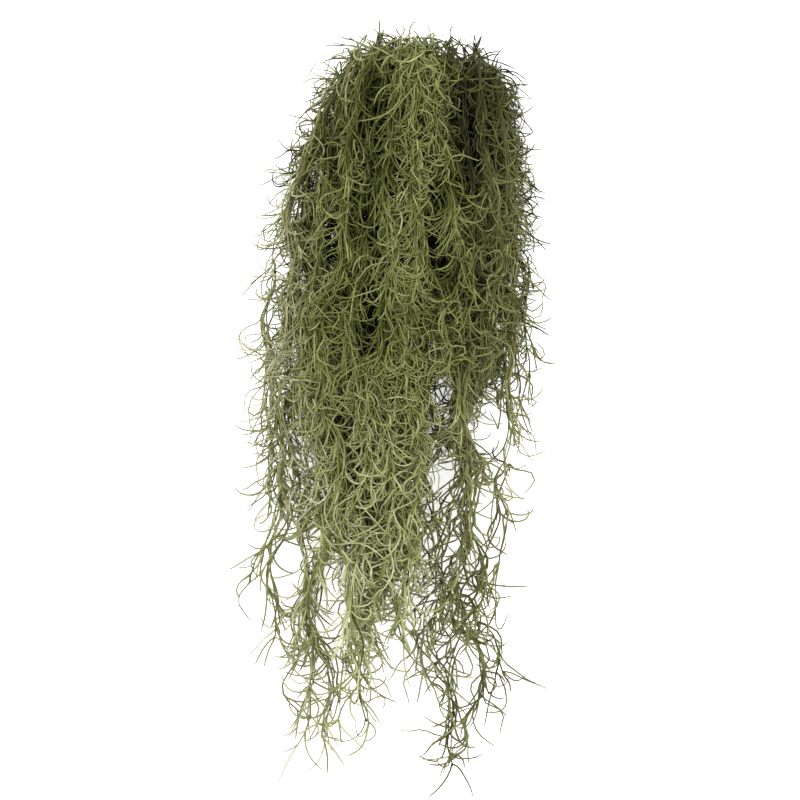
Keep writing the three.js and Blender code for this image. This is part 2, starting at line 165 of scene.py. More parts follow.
# %% The layers and the loose strands
CROWN_INSET, SHOULDER_DROP = 22, 34  # mm down where the bends begin, and how much lower at the edges
BEND_REACH = 46  # mm that a full bend takes
LAYERS = [  # name, lift, bend, first angle in degrees, locks, edge, strands in a lock
    ("under", 0.0, 0.74, 14, 9, 0.025, 12),
    ("lower", 0.25, 0.3, 45, 8, 0.07, 14),
    ("inner", 0.5, 0.0, 90, 6, 0.1, 18),
    ("upper", 0.75, 0.52, 5, 8, 0.07, 14),
    ("top", 1.0, 1.0, -4, 10, 0.03, 13),
]
LOOSE = [  # across, start, end, lift
    (-0.03, 215, 390, 0.8),
    (-0.03, 420, 590, 0.6),
    (0.31, 560, 700, 1.5),
    (0.9, 560, 690, 1.5),
    (1.01, 240, 400, 0.8),
    (1.04, 420, 560, 0.6),
]
LOOSE_STRANDS = 2  # strands that are twisted into a loose one
INNER_START, STAGGER = 34, 30  # mm that the inner locks start lower, and by how much that varies
END_TAPER = 14  # mm over which a packed stem tapers at its ends, where leaves still grow
SWAY, SWAY_LENGTH = (8, 4), (230, 95)  # mm: the reach and the length of the two waves in which a lock swings
SWAY_START = (30, 230)  # mm down over which the swing grows
PHASE_SPREAD = 0.35  # share of a wave by which neighbours swing apart
LIFT_SWAY = 0.2  # share of a layer by which a lock rises and sinks as it swings
SCATTER, SCATTER_BY = (12.9898, 78.233, 37.719), 43758.5453  # uneven numbers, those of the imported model


def draw(a, b, c):
    """A number from 0 to 1 that is always the same for the same three whole numbers: the digits after the point
    of a sine times a large number."""
    scattered = math.sin(a * SCATTER[0] + b * SCATTER[1] + c * SCATTER[2]) * SCATTER_BY
    return scattered - math.floor(scattered)


print("locks in the layers:", [count for _, _, _, _, count, _, _ in LAYERS], "and loose strands:", len(LOOSE))


# %% The middle line of a lock
class Lock:
    """One lock: where it lies across the bunch and in the pile, and how far it runs."""

    def __init__(self, name, layer, index, across, lift, strands):
        self.name, self.layer, self.index = name, layer, index
        self.across, self.lift, self.strands = across, lift, strands
        self.mound = mound_share(across)
        self.phases = [
            draw(layer, 0, 3 + wave) + PHASE_SPREAD * draw(layer, index, 5 + wave) for wave in (0, 1)
        ]

    def swing(self, down, wave):
        """How far the lock has swung out of its line, from -1 to 1: a sine that grows down the bunch."""
        grown = smooth_step(down, *SWAY_START)
        return grown * np.sin(2 * np.pi * (down / SWAY_LENGTH[wave] + self.phases[wave]))

    def middle(self, down):
        """X of the lock's middle, so many mm down the bunch."""
        sway = SWAY[0] * self.swing(down, 0) + SWAY[1] * self.swing(down, 1)
        return between_guides(GUIDE_X, self.across, down) + sway

    def line(self, s):
        """Points of the middle line, s mm along it: an arc over the crown, on which the lock rises from halfway up
        the pile to its own layer, then the run down the bunch."""
        angle = np.minimum(self.first_angle + s / self.bend_radius, np.pi / 2)
        on_run = s > self.bend_length
        run_down = self.run_start + s - self.bend_length
        down = np.where(on_run, run_down, self.run_start - self.bend_radius * np.cos(angle))
        pile = read_table(PILE_HEIGHT, row_at(np.maximum(down, self.run_start))) * self.mound
        swung = LIFT_SWAY / (len(LAYERS) - 1) * self.swing(down, 0) if self.lift > 0 else 0
        share = np.where(on_run, self.lift + swung, 0.5 + (self.lift - 0.5) * np.sin(angle))
        return np.stack([self.middle(down), CROWN_Y - down, pile * share], axis=-1)


print("the swing starts", SWAY_START[0], "mm down and reaches", sum(SWAY), "mm to either side")

# %% Every lock
GOLDEN_SHARE = (math.sqrt(5) - 1) / 2  # steps of this share of a round never fall on the same place again
FIRST_RANK = [0.3, 0.7, 0.45, 0.1, 0.55]  # where the round of long and short locks begins, by layer
SHORTEST = 0.5  # share of its reach that the shortest lock has
SHORT_POWER = 1.5


def layer_locks(layer):
    """The locks of one layer, evenly spaced from edge to edge. Long and short ones are mixed: a lock's reach
    loses (1 - SHORTEST) * rank^1.5, where the rank goes round in steps of the golden share."""
    name, lift, bend, first_angle, count, edge, strands = LAYERS[layer]
    for index in range(count):
        across = edge + (1 - 2 * edge) * index / (count - 1)
        lock = Lock(f"{name}_lock_{index + 1}", layer, index, across, lift, strands)
        bend_reach = BEND_REACH * lock.mound
        bend_down = CROWN_INSET + SHOULDER_DROP * (2 * across - 1) ** 2 + bend_reach
        lock.first_angle = math.radians(first_angle)
        lock.bend_radius = max(bend_reach * bend, 1.0)
        lock.bend_length = (math.pi / 2 - lock.first_angle) * bend_reach * bend
        inner_start = INNER_START + STAGGER * draw(layer, index, 2) - END_TAPER
        lock.run_start = bend_down + (0 if bend else inner_start)
        rank = (GOLDEN_SHARE * (index + 1) + FIRST_RANK[layer]) % 1
        reach = float(across_table(TAIL_REACH, across))
        lock.end_down = reach * (1 - (1 - SHORTEST) * rank**SHORT_POWER)
        lock.length = lock.bend_length + lock.end_down + END_TAPER - lock.run_start
        yield lock


def loose_locks():
    """The loose strands, as locks with no bend."""
    for index, (across, start, end, lift) in enumerate(LOOSE):
        lock = Lock(f"loose_strand_{index + 1}", len(LAYERS), index, across, lift, LOOSE_STRANDS)
        lock.first_angle, lock.bend_radius, lock.bend_length = math.pi / 2, 1.0, 0.0
        lock.run_start, lock.end_down = start - END_TAPER, end
        lock.length = end - start + 2 * END_TAPER
        yield lock


locks = [lock for layer in range(len(LAYERS)) for lock in layer_locks(layer)] + list(loose_locks())
missing = sorted(set(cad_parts) ^ {lock.name for lock in locks})
print("locks:", len(locks), "names that don't match the packed model:", missing)

# %% [markdown]
# ## Where strands hang
# A bunch that has hung for a while is not even. Its crown is heaped up unevenly, the strands of one lock lean
# over to the next, and where they part, one sees through the bunch. Each of these is a table of a few measures in
# millimetres, and every point of a strand is moved by what the tables say for its place. That is easier to
# adjust than hundreds of curves shaped by hand.

# %% The crown and the hang
CROWN_LIFT = [6, 17, 21, 16, 10, 7, 8, 12, 14, 13, 9]  # mm in Y that strands reach past the bend, across the bunch
CROWN_OUT = [1, 1, 0, 0, 0, 0, 0, 0, 3, 6, 6]  # mm that they lie further right there
CROWN_FALL = (40, 130)  # mm along a lock between which lift and shift fade
HANG = [  # mm that strands hang to the right of their lock's line, for every guide line and row of GUIDE_X
    [0, -1, -2, 17, 7, 18, 0, -16],
    [0, 0, 0, 4, 6, 2, -4, -16],
    [0, 0, 0, -2, 2, 12, 16, 42],
    [0, 0, 0, -3, -5, -12, -18, -28],
    [0, 0, 0, -7, -16, -20, -16, -22],
    [0, -5, -11, -17, -31, -25, -12, -12],
]


def hung_line(lock, s):
    """The middle line of a lock, plus the lift and shift of the crown and the hang of its strands."""
    line = lock.line(s)
    crown = 1 - smooth_step(s, *CROWN_FALL) if lock.layer < len(LAYERS) else np.zeros_like(s)
    line[:, 0] += crown * across_table(CROWN_OUT, lock.across)
    line[:, 1] += crown * across_table(CROWN_LIFT, lock.across)
    line[:, 0] += between_guides(HANG, lock.across, CROWN_Y - line[:, 1])
    return line


print("the crown reaches", min(CROWN_LIFT), "to", max(CROWN_LIFT), "mm further than the bends")

# %% The openings
OPENINGS = [  # x, mm down, half width and half height of the gaps in the tails and of slim ones at both edges
    (-69, 579, 17, 50),
    (93, 397, 17, 42),
    (47, 446, 16, 19),
    (46, 363, 11, 18),
    (72, 648, 12, 38),
    (90, 486, 13, 28),
    (-110, 540, 14, 34),
    (-85, 512, 9, 22),
    (-66, 84, 6, 15),
    (-82, 146, 6, 26),
    (-100, 178, 7, 26),
    (-95, 250, 6, 22),
    (-113, 228, 7, 22),
    (-119, 290, 6, 24),
    (-104, 330, 5, 20),
    (104, 150, 4, 14),
    (112, 196, 4, 20),
    (116, 246, 4, 18),
    (104, 290, 4, 18),
]
DRAWN_ASIDE = (1.1, 0.65)  # half widths by which a strand in the middle moves out, and less for each it is away
FLOOR_SOFTNESS = 1.6  # mm over which what sinks is pressed flat on the surface


def drawn_aside(points):
    """A strand moved sideways out of every opening, to the side on which it passes the middle: u half widths from
    the middle, towards that side, become u + (1.1 - 0.65 u) * e^(-v^2), where v counts half heights."""
    for x, middle, width, height in OPENINGS:
        u, v = (points[:, 0] - x) / width, (CROWN_Y - points[:, 1] - middle) / height
        near = np.exp(-v * v)
        toward = 1 if near @ u > 0 else -1
        points[:, 0] += toward * width * near * np.maximum(0, DRAWN_ASIDE[0] - DRAWN_ASIDE[1] * toward * u)
    return points


def above_surface(points):
    """Points that would lie below the surface are pressed flat on it: z = (z + sqrt(z^2 + 4 h^2)) / 2."""
    z = points[..., 2]
    points[..., 2] = 0.5 * (z + np.sqrt(z * z + 4 * FLOOR_SOFTNESS**2))
    return points


print("openings:", len(OPENINGS), "the widest is", 2 * max(width for _, _, width, _ in OPENINGS), "mm wide")

# %% [markdown]
# ## Strands
# A strand wanders round the middle line of its lock, which makes the lock look plaited, and it strays outwards
# near its loose end. Its joints lie about 25 mm apart, and the stem kinks at every joint. One strand could be a
# bent curve with a bevel. Here its points are worked out as one array, so that leaves can be rooted at them.

# %% The joints of a strand
JOINT_GAP = (18, 33)  # mm from one joint to the next
STEPS = 3  # points of the stem for every joint
KINK, KINK_SPREAD = 2.4, (0.4, 1)  # mm that a joint lies out of line at most, and shares of it
WANDER = ((300, 170, 0.6), (130, 80, 0.5), (70, 45, 0.4))  # of three waves: longest and shortest in mm, share


def spaced_joints(start, end, rng):
    """The number of gaps between joints, and the distance along the lock of every point of the stem: joints at
    uneven gaps, with evenly spaced points between them."""
    count = max(2, int((end - start) / np.mean(JOINT_GAP)))
    gaps = rng.uniform(*JOINT_GAP, count)
    joints = start + np.concatenate([[0], np.cumsum(gaps)]) * (end - start) / gaps.sum()
    return count, np.interp(np.arange(count * STEPS + 1) / STEPS, np.arange(count + 1), joints)


def cross_frame(along):
    """Two directions square to each other and to the stem: sideways, and away from the surface."""
    side = unit(X_AXIS - along * along[..., :1])
    return side, np.cross(along, side)


def kinks(count, rng):
    """How far the stem lies to one side of its way: to the left and to the right from joint to joint, and straight
    between them."""
    bends = KINK * rng.uniform(*KINK_SPREAD, count + 1) * np.where(np.arange(count + 1) % 2, 1, -1)
    return np.interp(np.arange(count * STEPS + 1) / STEPS, np.arange(count + 1), bends)


def wander(s, rng):
    """One strand's distance from the middle line along one direction: three sines with waves of its own."""
    total = np.zeros_like(s)
    for longest, shortest, share in WANDER:
        total += share * np.sin(2 * np.pi * (s / rng.uniform(shortest, longest) + rng.random()))
    return total


# %% How wide a lock is
LOCK_RADIUS = (15.0, 15.0, 14.0, 10.0, 8.5, 8.5)  # mm that strands wander from their lock's middle, by layer
TAIL_RADIUS = (10.0, 20.0)  # the same in the tails, left and right of the parting
GATHER = (340, 520)  # mm down between which the width in the body becomes the width in the tails
PARTING, PARTING_WIDTH = 0.64, 0.07  # across, where the tails part
PARTING_FILL = 8.0  # mm that strands wander further beside the parting, in the body
EDGE_TIGHT = 0.45  # share by which they wander less at the edges
EDGE_ZONE = (0.75, 1.0)  # from here outwards, counted from the middle (0) to an edge (1)
PINCH, PINCH_WAVE = 0.55, 210  # strands draw together by this share, once in so many mm


def lock_width(lock, s, gathered):
    """How far strands wander from their lock's middle. The width is pinched in by a sine along the lock, by
    PINCH * (1/2 + 1/2 sin)."""
    side = int(lock.across > PARTING)
    radius = mixed((LOCK_RADIUS[lock.layer], TAIL_RADIUS[side]), gathered)
    radius = radius + PARTING_FILL * (1 - gathered) * bell(lock.across, PARTING, PARTING_WIDTH)
    radius = radius * (1 - EDGE_TIGHT * smooth_step(abs(2 * lock.across - 1), *EDGE_ZONE))
    return radius * (1 - PINCH * (0.5 + 0.5 * np.sin(2 * np.pi * (s / PINCH_WAVE + lock.phases[0]))))


print("locks are", 2 * min(LOCK_RADIUS), "to", 2 * max(LOCK_RADIUS), "mm wide in the body")

# %% The line of a strand
NEST, NEST_LENGTH = (-24, 8), 90  # mm that strands lie under or over their lock's line over the crown
OWN_PLACE = 0.5  # share of the width by which a strand keeps to its own side of the lock
FRAY = 14.0  # mm that a loose end strays further out
FRAY_SPREAD, FRAY_UP = 0.6, 0.6  # how much that differs from strand to strand, and how much of it goes upwards


def strand_line(lock, start, end, rng):
    """Points of a strand, STEPS to a joint. It is the lock's middle line plus an offset in the two directions of
    the cross frame. The offset is the lock's width times a slow wander round the strand's own place, plus a fray
    that grows with the cube of the way, plus a kink at every joint."""
    count, s = spaced_joints(start, end, rng)
    line = hung_line(lock, s)
    side, up = cross_frame(unit(np.gradient(line, axis=0)))
    way = (s - start) / (end - start)
    gathered = smooth_step(CROWN_Y - line[:, 1], *GATHER)
    width, own = lock_width(lock, s, gathered), OWN_PLACE * (1 - gathered)
    fray = rng.normal(0, FRAY_SPREAD, 2)
    nested = rng.uniform(*NEST) * (1 - smooth_step(s, lock.bend_length, lock.bend_length + NEST_LENGTH))
    place = rng.uniform(-1, 1, 2)
    offsets = []
    for out, home, lie in (
        (fray[0], place[0], 0),
        (FRAY_UP * fray[1], place[1], nested if lock.bend_length > 0 else 0),
    ):
        offset = width * (own * home + (1 - own) * wander(s, rng)) + FRAY * out * way**3 + lie
        offsets.append((offset + kinks(count, rng))[:, None])
    return above_surface(drawn_aside(line + side * offsets[0] + up * offsets[1]))


trial = strand_line(locks[-1], 0, locks[-1].length, np.random.default_rng(SEED))
print("a trial strand has", len(trial), "points and ends", round(float(CROWN_Y - trial[-1, 1])), "mm down")

# %% [markdown]
# ## Wisps and side shoots
# A few strands have slipped out of their lock and give the outline its loose wisps. A wisp is seen by itself, so
# it isn't left to chance as the others are, but is a smooth curve through a handful of places. Side shoots grow
# from the joints of a strand. They follow it at first and soon leave it, so they start as a copy of a part of it.

# %% Wisps
WISPS = [  # the lock, the share of the pile's height, then x and mm down of the places
    ("top_lock_2", 0.5, [(-40, 26), (-58, 44), (-72, 66), (-85, 92)]),
    ("under_lock_1", 0.3, [(-112, 270), (-119, 315), (-130, 355), (-128, 400)]),
    ("lower_lock_1", 0.3, [(-122, 330), (-128, 380), (-126, 430), (-130, 480)]),
    ("upper_lock_1", 0.5, [(-124, 340), (-118, 380), (-129, 420), (-122, 470)]),
    ("under_lock_9", 0.3, [(122, 262), (131, 300), (135, 330), (128, 372)]),
    ("upper_lock_6", 0.6, [(22, 470), (34, 505), (42, 535), (38, 568)]),
    ("upper_lock_6", 0.5, [(57, 484), (53, 508), (46, 530), (49, 556)]),
    ("lower_lock_6", 0.4, [(30, 585), (26, 625), (36, 662)]),
    ("lower_lock_2", 0.5, [(-78, 560), (-90, 610), (-86, 660), (-92, 712)]),
    ("upper_lock_2", 0.5, [(-92, 590), (-84, 640), (-98, 690)]),
    ("lower_lock_3", 0.5, [(-50, 600), (-40, 650), (-30, 700)]),
    ("upper_lock_7", 0.5, [(50, 640), (58, 690), (52, 722), (60, 742)]),
]


def wisp_line(high, places, rng):
    """A smooth curve through its places, at a share of the pile's height, with the kinks of any strand."""
    places = np.array(places, float)
    far = np.linalg.norm(np.diff(places, axis=0), axis=1).sum()
    count = max(2, int(far / np.mean(JOINT_GAP)))
    ticks = np.linspace(0, len(places) - 1, count * STEPS + 1)
    x, down = (read_table(column, ticks) for column in places.T)
    line = np.stack([x, CROWN_Y - down, high * read_table(PILE_HEIGHT, row_at(down))], axis=-1)
    side, up = cross_frame(unit(np.gradient(line, axis=0)))
    return above_surface(line + side * kinks(count, rng)[:, None] + up * kinks(count, rng)[:, None])


print("wisps:", len(WISPS))

# %% Side shoots
SHOOTS = 3  # on a lock in the middle, and twice as many at the edges
SHOOT_JOINTS = (3, 7)  # from the first to below the second
SHOOT_STRAY, STRAY_SPREAD = 20.0, (0.5, 1.4)  # mm that a shoot's tip has left its strand, and shares of it
SHOOT_UP = 0.6  # how far it leaves upwards, for every mm that it would leave sideways


def side_shoot(strand, rng):
    """A side shoot: from a joint of a strand it runs along with it and leaves it, slowly at first, by the power
    1.5 of the way."""
    joints = rng.integers(*SHOOT_JOINTS)
    steps = joints * STEPS + 1
    first = STEPS * rng.integers(max(1, (len(strand) - steps) // STEPS))
    line = strand[first : first + steps].copy()
    side, up = cross_frame(unit(np.gradient(line, axis=0)))
    way = np.linspace(0, 1, len(line))[:, None]
    angle, far = rng.uniform(0, 2 * np.pi), SHOOT_STRAY * rng.uniform(*STRAY_SPREAD)
    return above_surface(line + far * way**1.5 * (np.cos(angle) * side + SHOOT_UP * np.sin(angle) * up))


print("a side shoot has", SHOOT_JOINTS[0], "to", SHOOT_JOINTS[1] - 1, "joints")

# %% [markdown]
# ## Leaves and seed stubs
# A leaf starts on its stem at an angle and turns steadily as it grows, so its middle line is found by adding up
# short steps whose direction turns. Some leaves flow along the stem, some hook back to the crown and some stand
# out and droop. One leaf could be modelled and copied, but on the plant no two curl alike. So all leaves of a
# strand are worked out at once, as one array of leaves by points. A seed stub is the same form, short and almost
# straight, with a round head in place of a tip.

# %% The kinds of leaves
LEAF_STEPS = 7
LEAF_WAY = (np.arange(LEAF_STEPS) + 0.5) / LEAF_STEPS  # the way along a leaf at the middle of every step
LEAF_KINDS = (  # share in the middle and at the edges, lean and turn in degrees, length in mm: least, likely, most
    (0.58, 0.6, (3, 15, 35), (-120, 25, 150), (28, 44, 68)),  # flows along the stem
    (0.25, 0.26, (8, 28, 60), (60, 110, 220), (24, 38, 56)),  # hooks back to the crown
    (0.17, 0.14, (35, 60, 95), (-180, -90, -40), (22, 36, 52)),  # stands out and droops
)
BOW = (0.5, 0.85)  # radians that a leaf swings back and forth on its way, and one that flows
BOW_LOST = 0.5  # share by which leaves swing less in the tails
CURL_POWER = (0.8, 1.5)  # a leaf turns with the way to this power


def draw_kinds(edge, rng):
    """For every leaf its kind, and its lean, turn and length from triangular draws for that kind."""
    middle, outer = (np.cumsum([kind[i] for kind in LEAF_KINDS])[:-1] for i in (0, 1))
    kind = (rng.random((len(edge), 1)) > (1 - edge) * middle + edge * outer).sum(axis=1)
    lean, curl, length = (
        np.choose(kind, [rng.triangular(*ranges[i], len(edge)) for _, _, *ranges in LEAF_KINDS])
        for i in range(3)
    )
    return kind, np.radians(lean)[:, None], np.radians(curl), length


def leaf_turns(kind, curl, in_tail, rng):
    """How far every step of a leaf is turned: curl * way^power + bow * sin(2 pi way)."""
    bow = (rng.normal(0, np.where(kind == 0, BOW[1], BOW[0])) * (1 - BOW_LOST * in_tail))[:, None]
    steady = curl[:, None] * LEAF_WAY ** rng.uniform(*CURL_POWER, (len(kind), 1))
    return steady + bow * np.sin(2 * np.pi * LEAF_WAY)


print("likely lengths of the kinds:", [length[1] for *_, length in LEAF_KINDS], "mm")

# %% The middle lines of leaves
LAID_FLAT = (0.58, 0.3)  # mm that leaves spread upwards for each mm sideways: in the body, in tails and at edges
CURL_TWIST = (0.6, 0.35)  # radians that a leaf's plane is turned out of the stem's, for the same places
HELIX, HELIX_LOST = 0.55, 0.4  # how much a leaf leaves its plane, and the share lost in the tails
TAIL_LONG = 0.12  # share by which leaves are longer in the tails
STUB_SHARE, STUB_LENGTH, STUB_CURL = 0.035, (6, 10), 0.2  # how often, mm, and share of a leaf's turn


def leaf_lines(roots, along, ahead, edge, in_tail, rng):
    """Middle lines of leaves, (leaves, LEAF_STEPS + 1, 3), with the hinge about which each turns and whether it is
    a stub. The first direction is cos(lean) * stem + sin(lean) * outwards. Each step is that direction turned
    about the hinge, plus a little of the hinge itself (the helix) and of the way that the stem takes."""
    n = len(roots)
    side, up = cross_frame(along)
    azimuth = rng.uniform(0, 2 * np.pi, n)[:, None]
    edge = np.maximum(edge, in_tail)[:, None]
    radial = unit(np.cos(azimuth) * side + mixed(LAID_FLAT, edge) * np.sin(azimuth) * up)
    kind, lean, curl, length = draw_kinds(edge, rng)
    first = np.cos(lean) * along + np.sin(lean) * radial
    square = np.cross(along, radial)
    twist = rng.normal(0, 1, (n, 1)) * mixed(CURL_TWIST, edge)
    hinge = unit(np.cos(twist) * square + np.sin(twist) * np.cross(first, square))
    stub = rng.random(n) < STUB_SHARE
    length *= 1 + TAIL_LONG * in_tail
    length[stub] = rng.uniform(*STUB_LENGTH, stub.sum())
    curl[stub] *= STUB_CURL
    turned = leaf_turns(kind, curl, in_tail, rng)
    toward = np.cross(hinge, first)
    steps = np.cos(turned)[..., None] * first[:, None] + np.sin(turned)[..., None] * toward[:, None]
    helix = (rng.normal(0, HELIX, n) * (1 - HELIX_LOST * in_tail))[:, None] * np.linspace(0, 1, LEAF_STEPS)
    bend = (ahead - along)[:, None] * LEAF_WAY[:, None]
    steps = unit(steps + helix[..., None] * hinge[:, None] + bend)
    moves = np.cumsum(steps * (length / LEAF_STEPS)[:, None, None], axis=1)
    points = roots[:, None] + np.concatenate([np.zeros((n, 1, 3)), moves], axis=1)
    return above_surface(points), hinge, stub


print("a leaf has", LEAF_STEPS, "steps, and one in", round(1 / STUB_SHARE), "is a seed stub")

# %% [markdown]
# ## From lines to meshes
# A tube is a ring of three corners round every point of its line. Three are enough, because a leaf is about a
# millimetre thick and smooth shading rounds it off. Leaves and stems of one lock become one mesh, because they
# grow together. Every corner also gets a place on a small map: across the map is the tone of its leaf, and up the
# map is how far along the leaf it lies. The colour reads nothing but that map.

# %% Tubes with three sides
CORNERS = 3
CORNER_ANGLES = 2 * np.pi * np.arange(CORNERS) / CORNERS
MAP_WIDTH = 0.004  # half the width of a leaf on the map


def rings(points, radii, hinge):
    """Corners round every point but the last: point + radius * (cos(a) * across + sin(a) * hinge)."""
    along = unit(np.gradient(points, axis=-2))
    across = unit(np.cross(along, hinge))
    upward = np.cross(across, along)
    cos, sin = np.cos(CORNER_ANGLES)[:, None], np.sin(CORNER_ANGLES)[:, None]
    spokes = across[..., None, :] * cos + upward[..., None, :] * sin
    return (points[..., None, :] + radii[..., None, None] * spokes)[..., :-1, :, :]


def tube_faces(count):
    """Triangles of one closed tube with count rings and a tip, as rows of its own corner numbers."""
    corner = np.arange(CORNERS)
    following = (corner + 1) % CORNERS
    base = CORNERS * np.arange(count - 1)[:, None]
    a, b = base + corner, base + following
    walls = np.concatenate([np.stack([a, a + CORNERS, b], -1), np.stack([b, a + CORNERS, b + CORNERS], -1)])
    last = CORNERS * (count - 1)
    tip = np.stack([last + corner, np.full(CORNERS, last + CORNERS), last + following], -1)
    return np.concatenate([walls.reshape(-1, 3), tip, [[0, 1, 2]]])


def tubes(points, radii, hinge, tones, v):
    """Corners, map places and triangles of many like tubes: points (n, p, 3); radii, tones and v (n, p)."""
    n, p = radii.shape
    body = rings(points, radii, hinge).reshape(n, -1, 3)
    corners = np.concatenate([body, points[:, -1:]], axis=1)
    spread = np.append(np.tile([-MAP_WIDTH, 0.0, MAP_WIDTH], p - 1), 0.0)
    u, v = (np.concatenate([np.repeat(m[:, :-1], CORNERS, axis=1), m[:, -1:]], axis=1) for m in (tones, v))
    per_tube = CORNERS * (p - 1) + 1
    faces = tube_faces(p - 1)[None] + per_tube * np.arange(n)[:, None, None]
    return corners.reshape(-1, 3), np.stack([u + spread, v], -1).reshape(-1, 2), faces.reshape(-1, 3)


print("a leaf has", len(tube_faces(LEAF_STEPS)), "triangles")


# %% One mesh from many tubes
def joined(parts):
    """The corners, map places and triangles of several sets of tubes as three long arrays."""
    offset, corners, places, faces = 0, [], [], []
    for part_corners, part_places, part_faces in parts:
        corners.append(part_corners)
        places.append(part_places)
        faces.append(part_faces + offset)
        offset += len(part_corners)
    return (np.concatenate(lists) for lists in (corners, places, faces))


def make_mesh(name, parts):
    """One mesh object from several sets of tubes, smooth shaded, with its map. Nothing lies below the surface."""
    corners, places, faces = joined(parts)
    corners[:, 2] = np.maximum(corners[:, 2], 0)
    mesh = bpy.data.meshes.new(name)
    mesh.vertices.add(len(corners))
    mesh.vertices.foreach_set("co", (corners * MM).ravel())
    mesh.loops.add(faces.size)
    mesh.loops.foreach_set("vertex_index", faces.ravel())
    mesh.polygons.add(len(faces))
    mesh.polygons.foreach_set("loop_start", np.arange(0, faces.size, 3))
    mesh.polygons.foreach_set("use_smooth", np.ones(len(faces), bool))
    layer = mesh.uv_layers.new(name="OFBake")
    layer.uv.foreach_set("vector", places[faces.ravel()].ravel())
    mesh.update()
    mesh.validate()
    piece = bpy.data.objects.new(name, mesh)
    bpy.context.scene.collection.objects.link(piece)
    return piece


print("a hundred leaves in one mesh have", 100 * len(tube_faces(LEAF_STEPS)), "triangles")

# %% [markdown]
# ## Colour of living moss
# The green skin of a leaf lies under a coat of tiny scales that drink the rain. Dry, the coat makes the plant
# silvery and quite dull. The scales are far too fine to show, so they are given as a rough, slightly pale finish.
# Colour could be painted on an image, but two ramps say all of it: one goes from leaves in painted shade inside
# the bunch to pale ones in painted light outside, and one goes along a leaf, from its brown joint to its dry tip.

# %% Nodes and ramps
def srgb(code):
    """Linear red, green, blue and alpha of a colour written as six hex digits."""
    values = [int(code[i : i + 2], 16) / 255 for i in (1, 3, 5)]
    linear = [c / 12.92 if c <= 0.04045 else ((c + 0.055) / 1.055) ** 2.4 for c in values]
    return (*linear, 1.0)


def add(tree, kind, settings=None, **links):
    """Adds a node with its settings, and links its named inputs from other nodes' outputs."""
    node = tree.nodes.new(kind)
    for key, value in (settings or {}).items():
        if key in node.inputs:
            node.inputs[key].default_value = value
        else:
            setattr(node, key, value)
    for key, output in links.items():
        tree.links.new(output, node.inputs[key.replace("_", " ")])
    return node


def fill_ramp(node, stops):
    """Sets a colour ramp's stops from (place, colour) pairs."""
    ramp = node.color_ramp
    while len(ramp.elements) > 1:
        ramp.elements.remove(ramp.elements[-1])
    for i, (place, colour) in enumerate(stops):
        element = ramp.elements[0] if i == 0 else ramp.elements.new(place)
        element.position = place
        element.color = colour


print("middle grey is", round(srgb("#808080")[0], 3), "in linear light")

# %% The materials
TONES = {  # from the darkest to the palest leaves of each kind of lock: one moss with painted light in front and at the left, and painted shade inside and at the right
    "moss_bright": ["#30350b", "#5c6430", "#838a55", "#b2b88d"],
    "moss_olive": ["#2c300a", "#575b2b", "#7f815b", "#adad91"],
    "moss_shaded": ["#24270a", "#4f5229", "#767a4a", "#a1a478"],
    "moss_pale": ["#33380c", "#696d3a", "#91956b", "#bebfa4"],
}
TONE_PLACES = (0.05, 0.38, 0.66, 0.95)
STEM_V = (0.02, 0.09)  # on the map, a stem lies between these, with its joints at the upper one
LEAF_V = (0.12, 0.97)
ALONG_A_LEAF = (  # linear colours that are multiplied with the tone: brown stem, clean leaf, dry tip
    (0.0, (0.7, 0.66, 0.52, 1)),
    (0.09, (0.84, 0.82, 0.7, 1)),
    (0.14, (0.98, 0.97, 0.9, 1)),
    (0.55, (1, 1, 1, 1)),
    (0.8, (0.86, 0.83, 0.72, 1)),
    (1.0, (0.62, 0.56, 0.42, 1)),
)
SCALY_ROUGHNESS, SCALY_SPECULAR = 0.62, 0.2


def moss_material(slot):
    """Living leaf skin, grown under a coat of scales. It gives the eye a dull green with no highlight to speak of,
    silvery where a leaf is pale."""
    material = bpy.data.materials.new(slot + "_living_leaf")
    material.use_nodes = True
    tree = material.node_tree
    shader = tree.nodes["Principled BSDF"]
    place = add(tree, "ShaderNodeUVMap", {"uv_map": "OFBake"})
    split = add(tree, "ShaderNodeSeparateXYZ", Vector=place.outputs[0])
    tone = add(tree, "ShaderNodeValToRGB", Fac=split.outputs[0])
    fill_ramp(tone, [(p, srgb(c)) for p, c in zip(TONE_PLACES, TONES[slot])])
    along = add(tree, "ShaderNodeValToRGB", Fac=split.outputs[1])
    fill_ramp(along, ALONG_A_LEAF)
    shade = add(tree, "ShaderNodeMix", {"data_type": "RGBA", "blend_type": "MULTIPLY"})
    shade.inputs[0].default_value = 1.0  # the node has several inputs of one name, so they are counted
    tree.links.new(tone.outputs[0], shade.inputs[6])
    tree.links.new(along.outputs[0], shade.inputs[7])
    tree.links.new(shade.outputs[2], shader.inputs["Base Color"])
    shader.inputs["Roughness"].default_value = SCALY_ROUGHNESS
    shader.inputs["Specular IOR Level"].default_value = SCALY_SPECULAR
    return material


materials = {slot: moss_material(slot) for slot in TONES}
print("materials:", [material.name for material in materials.values()])
